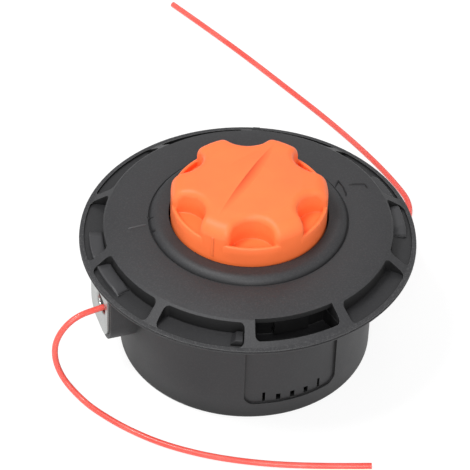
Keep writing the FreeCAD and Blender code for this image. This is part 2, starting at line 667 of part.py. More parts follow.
def build_drum_housing():
    """Drum with its flange, arbor boss, post, eyelet bosses, side panels and vents."""
    body = new_body("drum_housing")
    foot_radius = size.drum_radius - size.drum_draft
    cup = outline(new_sketch(body, "cup_section", "XZ_Plane"), [
        (0, size.post_height - size.post_cap),
        (size.shaft_bore, size.post_height - size.post_cap),
        (size.shaft_bore, 0),
        (size.hub_face_radius, 0),
        (size.hub_face_radius, size.foot_depth),
        (foot_radius - size.foot_width, size.foot_depth),
        (foot_radius - size.foot_width, 0),
        (foot_radius, 0),
        (size.drum_radius, FLANGE_UNDER),
        (size.rim_radius, LIP_TOP - size.lip_thickness),
        (size.rim_radius, LIP_TOP),
        (size.drum_radius + size.flat_reach, size.deck_height),
        (size.drum_inside, size.deck_height),
        (size.drum_inside, FLOOR_TOP),
        (size.hub_radius, FLOOR_TOP),
        (size.hub_radius, size.hub_height),
        (size.post_radius, size.hub_height),
        (size.post_radius, size.post_height),
        (0, size.post_height),
    ])
    turned(body, cup)

    inner_end = size.hub_face_radius - size.under_rib_width / 2
    outer_end = foot_radius - size.foot_width + size.under_rib_width / 2
    half = size.under_rib_width / 2
    rib = outline(new_sketch(body, "under_rib", "XY_Plane"), [
        (inner_end, -half), (outer_end, -half), (outer_end, half), (inner_end, half)])
    repeat(body, [pad(body, rib, size.foot_depth)], UNDER_RIB_COUNT)

    boss_start = size.drum_inside + size.fit_gap
    boss = outline(
        new_sketch(body, "eyelet_boss", "YZ_Plane", boss_start),
        u_shape(size.boss_half_width, size.boss_bottom,
                FLANGE_UNDER + size.flange_thickness / 4, size.boss_round))
    repeat(body, [pad(body, boss, size.boss_reach - boss_start)], 2)

    seat = outline(
        new_sketch(body, "eyelet_seat", "YZ_Plane", size.boss_reach),
        u_shape(size.eyelet_half_width + size.fit_gap, size.eyelet_bottom - size.fit_gap,
                size.eyelet_top + size.fit_gap, size.eyelet_round))
    seat_cut = pocket(body, seat, size.eyelet_plate - size.eyelet_proud + size.fit_gap)
    bore = outline(
        new_sketch(body, "eyelet_bore", "YZ_Plane", size.boss_reach),
        slot_shape(size.tube_wall + size.fit_gap))
    bore_cut = pocket(body, bore, size.boss_reach - size.drum_inside + size.drum_wall)
    repeat(body, [seat_cut, bore_cut], 2)

    hexagon = size.insert_flats / 2 + size.fit_gap
    hole = hexagon_sketch(body, "insert_hole", 0.0, hexagon)
    pocket(body, hole, size.insert_setback + size.insert_length + size.fit_gap, up=True)

    panel_radius = foot_radius - size.panel_depth + size.seat_gap / 3
    panel = new_sketch(body, "side_panels", "XY_Plane", size.panel_bottom)
    middles = [size.panel_turn + 90, size.panel_turn + 270]
    sectors(panel, panel_radius, size.drum_radius + size.seat_gap,
            [around(middle, size.panel_angle) for middle in middles])
    pocket(body, panel, FLANGE_UNDER - size.panel_bottom, up=True)

    def is_panel_corner(edge):
        if len(edge.Vertexes) != 2:
            return False
        ends = [polar(vertex.Point) for vertex in edge.Vertexes]
        level = all(abs(end[2] - size.panel_bottom.value) < 1e-2 for end in ends)
        radial = same_angle(ends[0][1], ends[1][1], 360)
        return level and radial

    rounded(body, "panel_corners", is_panel_corner, size.panel_round)

    vents = (
        ("tall_vents", (-2, 2), size.tall_vent_angle, size.tall_vent_height),
        ("short_vents", (-1, 0, 1), size.short_vent_angle, size.short_vent_height),
    )
    for name, steps, width, height in vents:
        sketch = new_sketch(body, name, "XY_Plane", size.vent_sill)
        spans = [around(middle + size.vent_pitch * step, width / 2)
                 for middle in middles for step in steps]
        sectors(sketch, size.drum_inside - size.fit_gap, size.drum_radius + size.seat_gap, spans)
        pocket(body, sketch, height, up=True)

    floor = size.deck_height - size.pocket_depth
    inner = size.drum_inside + size.drum_wall / 2
    outer = size.latch_window_outer - size.seat_gap
    box = outline(new_sketch(body, "latch_box", "YZ_Plane"), [
        (inner, floor - size.pocket_wall),
        (outer - size.pocket_slope, floor - size.pocket_wall),
        (outer + size.pocket_wall, FLANGE_UNDER + size.seat_gap),
        (outer + size.pocket_wall, size.deck_height - size.rim_fall),
        (inner, size.deck_height - size.rim_fall),
    ])
    repeat(body, [turned(body, box, (size.pocket_angle + size.pocket_ends) * 2)], 2)
    cavity = outline(new_sketch(body, "latch_cavity", "YZ_Plane"), [
        (size.drum_radius, floor),
        (outer - size.pocket_slope, floor),
        (outer, LIP_TOP),
        (outer, size.deck_height + size.seat_gap),
        (size.drum_radius, size.deck_height + size.seat_gap),
    ])
    repeat(body, [grooved(body, cavity, size.pocket_angle * 2)], 2)
    slots = new_sketch(body, "latch_slots", "XY_Plane", LATCH_BOTTOM - size.seat_gap)
    sectors(slots, size.drum_inside - size.fit_gap, size.drum_radius + size.fit_gap,
            [around(plain(middle), size.latch_angle + size.latch_play) for middle in LATCH_TURNS])
    pocket(body, slots, size.latch_lip + size.seat_gap * 2, up=True)

    pads = new_sketch(body, "boss_pads", "XY_Plane", size.deck_height - size.rim_fall)
    sectors(pads, PAD_INNER, PAD_INNER + size.pad_width,
            [around(plain(middle), size.pad_angle) for middle in PAD_TURNS])
    pad(body, pads, size.rim_fall + size.pad_rise)

    ramps = new_sketch(body, "ramps", "XY_Plane", size.deck_height - size.rim_fall)
    ramp_inner = PAD_INNER + size.ramp_step
    sectors(ramps, ramp_inner, ramp_inner + size.ramp_width,
            [(size.ramp_start + turn, size.ramp_end + turn) for turn in (0.0, HALF_TURN)])
    pad(body, ramps, size.rim_fall + size.ramp_rise)

    def top_end(rise, *angles):
        """A test for the level edges at the ends of the pads or ramps."""
        height = size.deck_height.value + rise.value

        def test(edge):
            if len(edge.Vertexes) != 2:
                return False
            ends = [polar(vertex.Point) for vertex in edge.Vertexes]
            level = all(abs(end[2] - height) < 1e-2 for end in ends)
            return level and any(
                all(same_angle(end[1], angle, HALF_TURN) for end in ends) for angle in angles)

        return test

    end = size.pad_angle.value
    bevelled(body, "pad_ends", top_end(size.pad_rise, end, -end), size.pad_bevel, size.pad_slope)
    bevelled(body, "ramp_slopes", top_end(size.ramp_rise, size.ramp_start.value), size.ramp_bevel)
    rounded(body, "foot_edge", lambda e: is_circle(e, foot_radius.value, 0), size.foot_round)
    return body


def hexagon_sketch(body, name, lift, apothem):
    """A hexagon with two flats across the Y axis."""
    corner = apothem * (2 / math.sqrt(3))
    points = []
    for i in range(6):
        angle = math.radians(60 * i)
        points.append((corner * round(math.cos(angle), 9), corner * round(math.sin(angle), 9)))
    return outline(new_sketch(body, name, "XY_Plane", lift), points)


def build_arbor_insert():
    """Steel hexagon moulded into the drum, with the left-hand arbor thread."""
    body = new_body("arbor_insert")
    sketch = hexagon_sketch(body, "hexagon", size.insert_setback, size.insert_flats / 2)
    pad(body, sketch, size.insert_length)
    bore = new_sketch(body, "thread_bore", "XY_Plane", size.insert_setback)
    bore.addGeometry(Part.Circle(Vector(), Vector(0, 0, 1), size.thread_radius.value), False)
    bore.addConstraint(Sketcher.Constraint("Coincident", 0, 3, -1, 1))
    index = bore.addConstraint(Sketcher.Constraint("Radius", 0, size.thread_radius.value))
    bore.setExpression(f"Constraints[{index}]", size.thread_radius.text)
    pocket(body, bore, size.insert_length, up=True)
    return body


def build_cover():
    """Cover with the dished middle, ten windows, two latch hooks and the ratchet."""
    body = new_body("windowed_cover")
    foot = COLLAR_TOP - size.collar_drop
    shoulder = size.deck_height + size.shoulder_rise
    rim = size.deck_height - size.window_fall
    edge = LIP_TOP + size.cover_edge
    lip = LIP_TOP + size.seat_gap
    skirt_foot = size.deck_height + size.seat_gap
    spigot = size.drum_inside - size.seat_gap
    spigot_foot = size.deck_height - size.spigot_depth
    section = outline(new_sketch(body, "cover_section", "XZ_Plane"), [
        (size.knob_hole, COLLAR_TOP),
        (size.knob_hole + size.collar_top, COLLAR_TOP, -size.collar_round),
        (size.collar_foot, foot),
        (size.collar_foot + size.groove_width / 4, foot - size.groove_depth),
        (size.collar_foot + size.groove_width / 2, foot - size.groove_depth),
        (size.collar_foot + size.groove_width, foot, -size.dome_radius),
        (size.shoulder_radius, shoulder),
        (size.window_outer, rim),
        (size.cover_radius, edge),
        (size.cover_radius, lip),
        (size.window_outer, lip + size.rim_tilt),
        (SKIRT_OUTSIDE, skirt_foot),
        (SKIRT_INSIDE, skirt_foot),
        (SKIRT_INSIDE, shoulder - size.flank_plate),
        (spigot, shoulder + size.fit_gap - size.seat_gap),
        (spigot, spigot_foot),
        (spigot - size.spigot_wall, spigot_foot),
        (spigot - size.spigot_wall, shoulder + size.spigot_top - size.cover_plate),
        (size.ratchet_outer + size.ratchet_land, COVER_UNDER),
        (size.knob_hole + size.collar_wall, COVER_UNDER),
        (size.knob_hole + size.collar_wall, COLLAR_TOP - size.collar_depth),
        (size.knob_hole, COLLAR_TOP - size.collar_depth),
    ])
    turned(body, section)

    pitch = 360 / WINDOW_COUNT
    half = (pitch - size.rib_angle) / 2
    cut_from = shoulder + size.seat_gap
    windows = new_sketch(body, "windows", "XY_Plane", cut_from)
    sectors(windows, size.window_inner, size.window_outer,
            [around(plain(pitch * (i + 0.5)), half)
             for i in range(WINDOW_COUNT) if i not in LATCH_WINDOWS])
    pocket(body, windows, cut_from - LIP_TOP)
    latch_windows = new_sketch(body, "latch_windows", "XY_Plane", cut_from)
    latch_spans = [around(plain(pitch * (i + 0.5)), half) for i in LATCH_WINDOWS]
    sectors(latch_windows, size.latch_window_inner, size.latch_window_outer, latch_spans)
    pocket(body, latch_windows, cut_from - LIP_TOP)
    hollows = new_sketch(body, "latch_hollows", "XY_Plane", size.deck_height)
    sectors(hollows, SKIRT_INSIDE - size.fit_gap, size.latch_window_outer, latch_spans)
    pocket(body, hollows, size.shoulder_rise - size.flank_plate, up=True)

    def is_window_corner(edge):
        if not is_upright(edge):
            return False
        radius = polar(edge.Vertexes[0].Point)[0]
        return any(abs(radius - side.value) < 0.02 for side in (
            size.window_inner, size.window_outer, size.latch_window_outer))

    rounded(body, "window_corners", is_window_corner, size.window_round)

    relief = new_sketch(body, "pad_relief", "XY_Plane",
                        size.deck_height + size.pad_rise + size.seat_gap)
    sectors(relief, SKIRT_OUTSIDE, PAD_INNER + size.pad_width + size.seat_gap,
            [around(plain(middle), size.pad_angle + size.pad_margin) for middle in PAD_TURNS])
    pocket(body, relief, size.pad_rise + size.rim_fall)

    arm = size.drum_radius + size.latch_gap
    sides = [around(plain(middle), size.latch_angle) for middle in LATCH_TURNS]
    hooks = new_sketch(body, "latch_hooks", "XY_Plane", LATCH_BOTTOM)
    sectors(hooks, arm, arm + size.latch_arm, sides)
    pad(body, hooks, shoulder - size.latch_root - LATCH_BOTTOM)
    lips = new_sketch(body, "latch_lips", "XY_Plane", LATCH_BOTTOM)
    sectors(lips, size.drum_inside + size.latch_end, arm + size.latch_arm, sides)
    pad(body, lips, size.latch_lip)

    wide = size.tooth_half_width
    tip = COVER_UNDER - size.tooth_height
    root = COVER_UNDER + size.seat_gap
    tooth = outline(turned_sketch(body, "ratchet_tooth", size.ratchet_inner, 180 / TOOTH_COUNT), [
        (-wide, root),
        (-wide, COVER_UNDER),
        (-wide + size.tooth_steep, tip),
        (wide - size.tooth_slope, tip),
        (wide, COVER_UNDER),
        (wide, root),
    ])
    repeat(body, [pad(body, tooth, size.ratchet_outer - size.ratchet_inner)], TOOTH_COUNT)
    return body


def build_eyelet(name, turn):
    """Metal line eyelet: a plate in the boss and a sleeve through the drum wall."""
    body = new_body(name)
    back = PLATE_BACK
    plate = outline(
        new_sketch(body, "plate_outline", "YZ_Plane", back),
        u_shape(size.eyelet_half_width, size.eyelet_bottom, size.eyelet_top, size.eyelet_round))
    pad(body, plate, size.eyelet_plate)
    sleeve = outline(new_sketch(body, "sleeve_outline", "YZ_Plane", back),
                     slot_shape(size.tube_wall))
    pad(body, sleeve, back - size.drum_inside - size.seat_gap, down=True)
    slot = outline(
        new_sketch(body, "line_slot", "YZ_Plane", back + size.eyelet_plate),
        slot_shape(plain(0)))
    pocket(body, slot, size.boss_reach)
    face = (back + size.eyelet_plate).value

    def is_slot_edge(edge):
        spots = [vertex.Point for vertex in edge.Vertexes]
        inside = size.slot_radius.value + size.slot_half_length.value + 0.1
        near = all(abs(p.y - size.eyelet_offset.value) < inside for p in spots)
        level = all(abs(p.z - size.eyelet_height.value) < inside for p in spots)
        return near and level and all(abs(p.x - face) < 1e-3 for p in spots)

    rounded(body, "slot_flare", is_slot_edge, size.slot_flare)
    body.Placement = Placement(Vector(), Rotation(Vector(0, 0, 1), turn))
    return body


def build_spool():
    """Two-chamber spool with ratchet teeth, bush sleeve, spring room and key slots."""
    body = new_body("spool")
    low, high = SPOOL_BOTTOM, SPOOL_TOP
    thick = size.spool_flange
    middle = size.eyelet_height
    web_top = size.web_height + size.web_thickness
    section = outline(new_sketch(body, "spool_section", "XZ_Plane"), [
        (BUSH_RADIUS, size.sleeve_bottom),
        (size.sleeve_radius, size.sleeve_bottom),
        (size.sleeve_radius, size.web_height),
        (size.spring_cavity, size.web_height),
        (size.spring_cavity, low),
        (size.spool_radius, low),
        (size.spool_radius, low + thick),
        (size.core_radius, low + thick),
        (size.core_radius, middle - thick / 2),
        (size.spool_radius, middle - thick / 2),
        (size.spool_radius, middle + thick / 2),
        (size.core_radius, middle + thick / 2),
        (size.core_radius, high - thick),
        (size.spool_radius, high - thick),
        (size.spool_radius, high),
        (size.socket_radius, high),
        (size.socket_radius, web_top),
        (size.sleeve_radius, web_top),
        (size.sleeve_radius, size.sleeve_top),
        (BUSH_RADIUS, size.sleeve_top),
    ])
    turned(body, section)

    wide = size.tooth_half_width
    tooth = outline(turned_sketch(body, "ratchet_tooth", size.ratchet_inner, 0.0), [
        (-wide, high - thick / 2),
        (wide, high - thick / 2),
        (wide, high),
        (wide - size.tooth_steep, high + size.tooth_height),
        (-wide + size.tooth_slope, high + size.tooth_height),
        (-wide, high),
    ])
    repeat(body, [pad(body, tooth, size.ratchet_outer - size.ratchet_inner)], TOOTH_COUNT)

    slots = new_sketch(body, "key_slots", "XY_Plane", high - size.key_height - size.seat_gap)
    quarter = 360 / KEY_COUNT
    sectors(slots, size.socket_radius - size.seat_gap, size.socket_radius + size.key_depth,
            [around(size.knob_turn + quarter * i, size.key_angle) for i in range(KEY_COUNT)])
    pocket(body, slots, size.key_height + size.seat_gap * 2, up=True)
    return body


def ring(name, inner, outer, low, high):
    """A plain ring about the Z axis."""
    body = new_body(name)
    section = outline(new_sketch(body, "section", "XZ_Plane"), [
        (inner, low), (outer, low), (outer, high), (inner, high)])
    turned(body, section)
    return body


def build_winding(name, low, high):
    """The line wound in one chamber: a ring with rounded outer turns."""
    body = new_body(name)
    turns = int((high.value - low.value) / (2 * size.line_radius.value))
    step = (high - low) / turns
    inner = size.core_radius + size.fit_gap
    points = [(inner, high), (inner, low)]
    for i in range(turns):
        points.append((size.winding_radius - size.line_radius / 2, low + step * i, step * size.turn_bulge))
    points.append((size.winding_radius - size.line_radius / 2, high))
    turned(body, outline(new_sketch(body, "section", "XZ_Plane"), points))
    return body


def build_knob():
    """Bump knob: domed cap with six finger hollows, a skirt and a keyed stem."""
    body = new_body("bump_knob")
    deck = size.deck_height
    inside = size.knob_radius - size.knob_wall
    ceiling = deck + size.knob_ceiling
    corner = KNOB_TOP - size.crown_drop
    section = outline(new_sketch(body, "knob_section", "XZ_Plane"), [
        (0, KNOB_TOP),
        (size.crown_flat, KNOB_TOP),
        (size.knob_radius - size.crown_bend, KNOB_TOP - size.crown_fall),
        (size.knob_radius, corner),
        (size.knob_radius, deck + size.skirt_bottom),
        (inside, deck + size.skirt_bottom),
        (inside, ceiling),
        (size.stem_radius, ceiling),
        (size.stem_radius, size.stem_bottom),
        (size.stem_radius - size.stem_wall, size.stem_bottom),
        (size.stem_radius - size.stem_wall, KNOB_TOP - 2 * size.knob_wall),
        (0, KNOB_TOP - size.knob_wall),
    ])
    turned(body, section)
    rounded(body, "crown_edge", lambda e: is_circle(e, size.knob_radius.value, corner.value),
            size.knob_round)

    bowl = new_sketch(body, "finger_hollow", "XY_Plane", KNOB_TOP + size.seat_gap)
    bowl.addGeometry(
        Part.Circle(Vector(size.knob_radius.value, 0, 0), Vector(0, 0, 1),
                    size.hollow_radius.value), False)
    index = bowl.addConstraint(Sketcher.Constraint("Radius", 0, size.hollow_radius.value))
    bowl.setExpression(f"Constraints[{index}]", size.hollow_radius.text)
    pinned(bowl, 0, 3, "DistanceX", size.knob_radius)
    pinned(bowl, 0, 3, "DistanceY", 0)
    bowl_cut = pocket(body, bowl, size.knob_crown + size.seat_gap - size.hollow_floor)
    repeat(body, [bowl_cut], HOLLOW_COUNT)
    turns = [360 / HOLLOW_COUNT * i for i in range(HOLLOW_COUNT)]
    centres = [Rotation(Vector(0, 0, 1), turn).multVec(Vector(size.knob_radius.value, 0, 0))
               for turn in turns]

    def is_hollow_edge(edge):
        """An edge at the top of a hollow's wall."""
        if edge.Degenerated:
            return False
        span = edge.LastParameter - edge.FirstParameter
        spots = [edge.valueAt(edge.FirstParameter + span * part) for part in (0.1, 0.5, 0.9)]
        top = max(spot.z for spot in spots)
        return top > (deck + size.hollow_rim).value + 0.5 and any(
            all(abs(math.hypot(spot.x - c.x, spot.y - c.y) - size.hollow_radius.value) < 0.03
                for spot in spots) for c in centres)

    rounded(body, "hollow_edges", is_hollow_edge, size.hollow_edge)
    walls = new_sketch(body, "hollow_walls", "XY_Plane", deck + size.hollow_floor - size.hollow_wall)
    sectors(walls, size.knob_radius - size.hollow_wall, size.knob_radius,
            [around(plain(turn), size.hollow_wall_angle) for turn in turns])
    pad(body, walls, size.hollow_rim - size.hollow_floor + size.hollow_wall)

    def is_wall_top(edge):
        height = (deck + size.hollow_rim).value
        return any(is_circle(edge, radius, height)
                   for radius in (size.knob_radius.value, (size.knob_radius - size.hollow_wall).value))

    rounded(body, "wall_tops", is_wall_top, size.wall_round)

    rib = new_sketch(body, "skirt_rib", "XY_Plane", deck + size.skirt_rib_bottom)
    sectors(rib, size.knob_radius - size.fit_gap, size.knob_radius + size.skirt_rib_proud,
            [around(size.skirt_rib_turn, size.skirt_rib_angle)])
    pad(body, rib, size.skirt_rib_top - size.skirt_rib_bottom)


    top = SPOOL_TOP - size.key_height
    keys = new_sketch(body, "drive_keys", "XY_Plane", top)
    quarter = 360 / KEY_COUNT
    sectors(keys, size.stem_radius - size.stem_wall / 2,
            size.socket_radius + size.key_depth - size.seat_gap,
            [around(plain(quarter * i), size.key_angle - size.key_play) for i in range(KEY_COUNT)])
    pad(body, keys, size.key_height)
    body.Placement = Placement(Vector(), Rotation(Vector(0, 0, 1), size.knob_turn.value))
    return body


def build_spring():
    """Compression spring between the drum's floor and the washer under the web."""
    body = new_body("compression_spring")
    low = FLOOR_TOP + size.seat_gap + size.wire_radius
    washer_bottom = size.web_height - size.seat_gap - size.washer_thickness
    high = washer_bottom - size.seat_gap - size.wire_radius
    wire = new_sketch(body, "wire", "XZ_Plane")
    wire.addGeometry(
        Part.Circle(Vector(size.spring_radius.value, low.value, 0), Vector(0, 0, 1),
                    size.wire_radius.value), False)
    index = wire.addConstraint(Sketcher.Constraint("Radius", 0, size.wire_radius.value))
    wire.setExpression(f"Constraints[{index}]", size.wire_radius.text)
    pinned(wire, 0, 3, "DistanceX", size.spring_radius)
    pinned(wire, 0, 3, "DistanceY", low)
    coil = body.newObject("PartDesign::AdditiveHelix", "coil")
    coil.Profile = wire
    coil.ReferenceAxis = (wire, ["V_Axis"])
    coil.Mode = "pitch-height-angle"
    bind(coil, "Pitch", (high - low) / size.spring_turns)
    bind(coil, "Height", high - low)
    doc.recompute()
    return body


def line_tube(name, route, radius):
    """A cutting line: straight runs joined by the largest tangent arcs that fit."""
    points = [Vector(*point) for point in route]
    edges = []
    start = points[0]
    bends = []
    for before, corner, after in zip(points, points[1:], points[2:]):
        back, onward = (before - corner), (after - corner)
        shorter = min(back.Length, onward.Length)
        back.normalize()
        onward.normalize()
        half_turn = (math.pi - back.getAngle(onward)) / 2
        cut = 0.45 * shorter
        bend = cut / math.tan(half_turn)
        bends.append(bend)
        enter, leave = corner + back * cut, corner + onward * cut
        inward = (back + onward).normalize()
        middle = corner + inward * (bend / math.cos(half_turn) - bend)
        edges.append(Part.LineSegment(start, enter).toShape())
        edges.append(Part.Arc(enter, middle, leave).toShape())
        start = leave
    edges.append(Part.LineSegment(start, points[-1]).toShape())
    path = Part.Wire(edges)
    way = (points[1] - points[0]).normalize()
    ring_edge = Part.Circle(points[0], way, radius).toShape()
    tube = path.makePipeShell([Part.Wire([ring_edge])], True, False)
    expected = math.pi * radius ** 2 * path.Length
    if abs(tube.Volume / expected - 1) > 0.02:
        raise RuntimeError(f"{name} has volume {tube.Volume:.1f}, expected {expected:.1f}")
    piece = doc.addObject("Part::Feature", name)
    piece.Label = name
    piece.Shape = tube
    piece.Placement = Placement()
    print(name, "length", round(path.Length, 1), "radii", [round(bend, 1) for bend in bends])
    return piece


def build_pieces():
    """Every piece of the head, in the order in which it is put together."""
    thick = size.spool_flange
    web_gap = size.web_height - size.seat_gap
    pieces = [
        build_drum_housing(),
        build_arbor_insert(),
        build_eyelet("eyelet_right", 0.0),
        build_eyelet("eyelet_left", HALF_TURN),
        build_spring(),
        ring("spring_washer", size.washer_inner, size.washer_outer,
             web_gap - size.washer_thickness, web_gap),
        build_spool(),
        ring("spool_bush", size.post_radius + size.running_gap, BUSH_RADIUS - size.fit_gap / 2,
             size.sleeve_bottom + size.fit_gap, size.sleeve_top - size.fit_gap),
        build_winding("wound_line_lower", SPOOL_BOTTOM + thick + size.fit_gap,
                      size.eyelet_height - thick / 2 - size.fit_gap),
        build_winding("wound_line_upper", size.eyelet_height + thick / 2 + size.fit_gap,
                      SPOOL_TOP - thick - size.fit_gap),
        build_cover(),
        build_knob(),
        line_tube("line_left", LINE_LEFT_ROUTE, size.line_radius.value),
        line_tube("line_right", LINE_RIGHT_ROUTE, size.line_radius.value),
    ]
    return pieces


def write(pieces):
    """Check the whole document, then write each piece to its own file."""
    doc.recompute()
    for item in doc.Objects:
        if "Invalid" in item.State or "Error" in item.State:
            raise RuntimeError(f"{item.Name} failed: {item.State}")
    for piece in pieces:
        if piece.Shape.isNull() or not piece.Shape.isValid():
            raise RuntimeError(f"{piece.Label} has no valid shape")
    os.makedirs("parts", exist_ok=True)
    for piece in pieces:
        piece.Shape.exportStep(f"parts/{piece.Label}.step")
        print(piece.Label, "solids", len(piece.Shape.Solids), "volume", round(piece.Shape.Volume, 1))


write(build_pieces())
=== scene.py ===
import math

import bpy
from mathutils import Matrix, Vector


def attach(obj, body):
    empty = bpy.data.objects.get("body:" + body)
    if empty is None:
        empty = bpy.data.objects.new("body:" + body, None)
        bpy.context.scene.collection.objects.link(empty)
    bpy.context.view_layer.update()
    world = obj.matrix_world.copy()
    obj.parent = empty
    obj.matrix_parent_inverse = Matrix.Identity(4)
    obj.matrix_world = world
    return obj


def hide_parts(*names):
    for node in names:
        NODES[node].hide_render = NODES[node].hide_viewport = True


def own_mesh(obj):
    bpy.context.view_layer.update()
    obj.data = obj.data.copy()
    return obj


# Looks of a bump-feed trimmer head that stands on its drum, knob up. Metres and radians,
# unless a comment says millimetres or degrees.

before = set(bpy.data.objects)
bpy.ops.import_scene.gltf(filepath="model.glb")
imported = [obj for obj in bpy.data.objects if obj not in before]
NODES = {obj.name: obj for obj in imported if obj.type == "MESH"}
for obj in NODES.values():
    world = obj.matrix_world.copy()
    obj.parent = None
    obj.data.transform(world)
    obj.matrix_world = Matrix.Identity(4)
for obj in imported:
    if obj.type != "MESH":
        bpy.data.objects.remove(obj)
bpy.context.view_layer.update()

MM = 0.001


def rgb(red, green, blue):
    """A display colour of 0 to 255 as the renderer's linear colour."""
    def linear(value):
        value /= 255
        return value / 12.92 if value <= 0.04045 else ((value + 0.055) / 1.055) ** 2.4
    return (linear(red), linear(green), linear(blue), 1.0)


def scaled(colour, factor):
    """The same colour, lighter or darker."""
    return tuple(v * factor for v in colour[:3]) + (1.0,)


WHITE = (1.0, 1.0, 1.0, 1.0)

# The camera of the photograph: 41.7 degrees up, a little rolled, 1.19 m away
CAMERA_TURN, CAMERA_RISE, CAMERA_ROLL = (math.radians(v) for v in (-19.784, 41.684, 2.029))
CAMERA_DISTANCE, CAMERA_RIGHT, CAMERA_UP = 1.1891, -0.00364, 0.037765
SENSOR_WIDTH = 36
PICTURE_PIXELS, FOCAL_PIXELS = 470, 3000

# The cutting lines: length, then the part's own route points in millimetres
LINE_RADIUS = 1.2 * MM
LINES = {
    "line_left": (0.178, (
        (-51.8, -2.5, 31.5), (-61.6, -3.4, 31.5), (-71.4, -4.5, 30.3), (-78.5, -5.7, 23.2),
        (-80.6, -8.9, 16.2), (-78.1, -11.7, 6.7), (-73.1, -18.6, 1.25), (-69.2, -27.3, 1.25),
        (-60.2, -40.9, 1.25), (-47.4, -54.4, 1.25), (-28.8, -67.1, 1.25), (-3.0, -78.5, 1.25),
        (22.0, -85.7, 1.25),
    )),
    "line_right": (0.243, (
        (51.9, 2.6, 31.5), (61.0, 3.8, 31.5), (68.4, 8.8, 29.0), (73.0, 15.8, 22.6),
        (76.4, 22.8, 14.6), (80.6, 29.4, 6.2), (84.1, 39.0, 1.25), (90.3, 51.0, 1.25),
        (88.5, 66.2, 1.25), (84.1, 85.4, 1.25), (76.2, 110.7, 1.25), (65.3, 139.5, 1.25),
        (51.5, 175.2, 1.25), (36.4, 209.0, 1.25),
    )),
}

# The finger hollows: how many, and the first one's angle from the X axis in degrees
HOLLOWS, HOLLOW_TURN = 6, 13.5

# The moulded plastics: colours, roughness, rounding of sharp edges, wear with painted edge
# highlights, and painted shade in recesses
# The knob's orange, and a darker orange painted as shade in the knob's crease
KNOB_COLOUR, KNOB_CREASE_SHADE = rgb(252, 118, 60), rgb(214, 70, 32)
PLASTICS = {
    "drum_black": dict(colour=rgb(37, 37, 39), worn_and_highlit=rgb(92, 92, 92), roughness=0.52,
                       edge=0.4 * MM, wear_and_highlight=0.4, recess_shade=0.95, grain=0.09),
    "cover_black": dict(colour=rgb(46, 46, 48), worn_and_highlit=rgb(110, 110, 110), roughness=0.56,
                        edge=0.3 * MM, wear_and_highlight=0.25, recess_shade=0.95, grain=0.13, rim=62.5 * MM),
    "spool_black": dict(colour=rgb(40, 40, 42), worn_and_highlit=rgb(90, 90, 90), roughness=0.4,
                        edge=0.35 * MM, wear_and_highlight=0.5),
    "knob_orange": dict(colour=KNOB_COLOUR, worn_and_highlit=rgb(255, 166, 116), roughness=0.5,
                        edge=0.8 * MM, wear_and_highlight=0.2),
    "bush_white": dict(colour=rgb(226, 222, 210), worn_and_highlit=rgb(240, 238, 230), roughness=0.35,
                       edge=0.35 * MM, wear_and_highlight=0.5),
    # The pads: the housing's black made lighter, as painted light on their lit tops and ends, with
    # full edge wear and painted highlight
    "pad_black_painted_light": dict(colour=rgb(54, 54, 56), worn_and_highlit=rgb(132, 132, 132), roughness=0.5,
                      edge=0.5 * MM, wear_and_highlight=1.0),
    # Mark strokes: the dark ones carry a painted shadow, the light one a painted highlight
    "mark_painted_shadow": dict(colour=rgb(20, 20, 22), worn_and_highlit=rgb(60, 60, 60), roughness=0.5),
    "mark_painted_highlight": dict(colour=rgb(66, 66, 68), worn_and_highlit=rgb(120, 120, 120), roughness=0.5),
}
CLOUD_TONE = 1.14
GRAIN_DEPTH = 0.03 * MM
PLASTIC_IOR = 1.5
# How far the painted shade in recesses reaches, and its share on level surfaces against walls
RECESS_REACH, LEVEL_RECESS_SHADE = 9 * MM, 0.35
# Grain, and wear with painted edge highlights, added outside a cover's rim; and the band inside it
# where the window walls get painted shade
RIM_GRAIN, RIM_WEAR_AND_HIGHLIGHT = 1.6, 0.6
WINDOW_START, WINDOW_END, WINDOW_SHADE = 5 * MM, 12 * MM, 0.8

# The bare metals: colour, roughness, and how the drawn lines are stretched
METALS = {
    "eyelet_metal": (rgb(178, 180, 178), 0.34, (1.0, 1.0, 6.0)),
    "spring_steel": (rgb(150, 152, 156), 0.3, (1.0, 1.0, 3.0)),
    "washer_steel": (rgb(176, 178, 180), 0.3, (3.0, 3.0, 1.0)),
}
THREAD_PITCH, THREAD_DEPTH, BORE_EDGE = 1.25 * MM, 0.6 * MM, 4.4 * MM

# The material of each CAD node that keeps its own shape
PAINTED = {
    "drum_housing": "drum_black",
    "windowed_cover": "cover_black",
    "spool": "spool_black",
    "bump_knob": "knob_orange",
    "spool_bush": "bush_white",
    "eyelet_left": "eyelet_metal",
    "eyelet_right": "eyelet_metal",
    "arbor_insert": "threaded_steel",
    "spring_washer": "washer_steel",
    "wound_line_lower": "nylon_line",
    "wound_line_upper": "nylon_line",
}

# Strokes moulded on the cover, as points of a radius in millimetres and an angle in degrees
MARKS = (
    ("marks_right", "mark_painted_shadow", (
        ((38.6, 11.0), (41.9, 14.8), (41.6, 9.4), (40.9, 4.2), (40.2, 1.8)),
        ((44.2, 9.7), (47.6, 8.6), (50.6, 7.6), (50.5, 4.8)),
    )),
    ("marks_left", "mark_painted_shadow", (
        ((38.9, 162.0), (37.9, 164.6), (36.6, 166.0)),
        ((37.7, 175.2), (37.0, 177.9)),
    )),
    ("line_mark_left", "mark_painted_highlight", (
        ((46.5, 170.4), (42.8, 169.6), (39.3, 168.9)),
    )),
)

# The light: strength of the surroundings, and name, place, size and watts of each lamp
SURROUNDINGS = 0.42
LAMPS = (
    ("key", (-0.8, 0.0, 1.7), 0.6, 20.5),
    ("front", (-0.4, -1.3, 1.0), 0.8, 12.5),
    ("fill", (1.3, -0.5, 0.9), 0.9, 1.5),
    ("back", (0.6, 1.4, 1.3), 0.9, 2.2),
)
LAMP_AIM = Vector((0, 0, 0.04))
# How bright the floor's own white is, and its share where the camera or a reflection sees it
FLOOR_WHITE, FLOOR_SHARE = 1.12, 0.75


# Camera

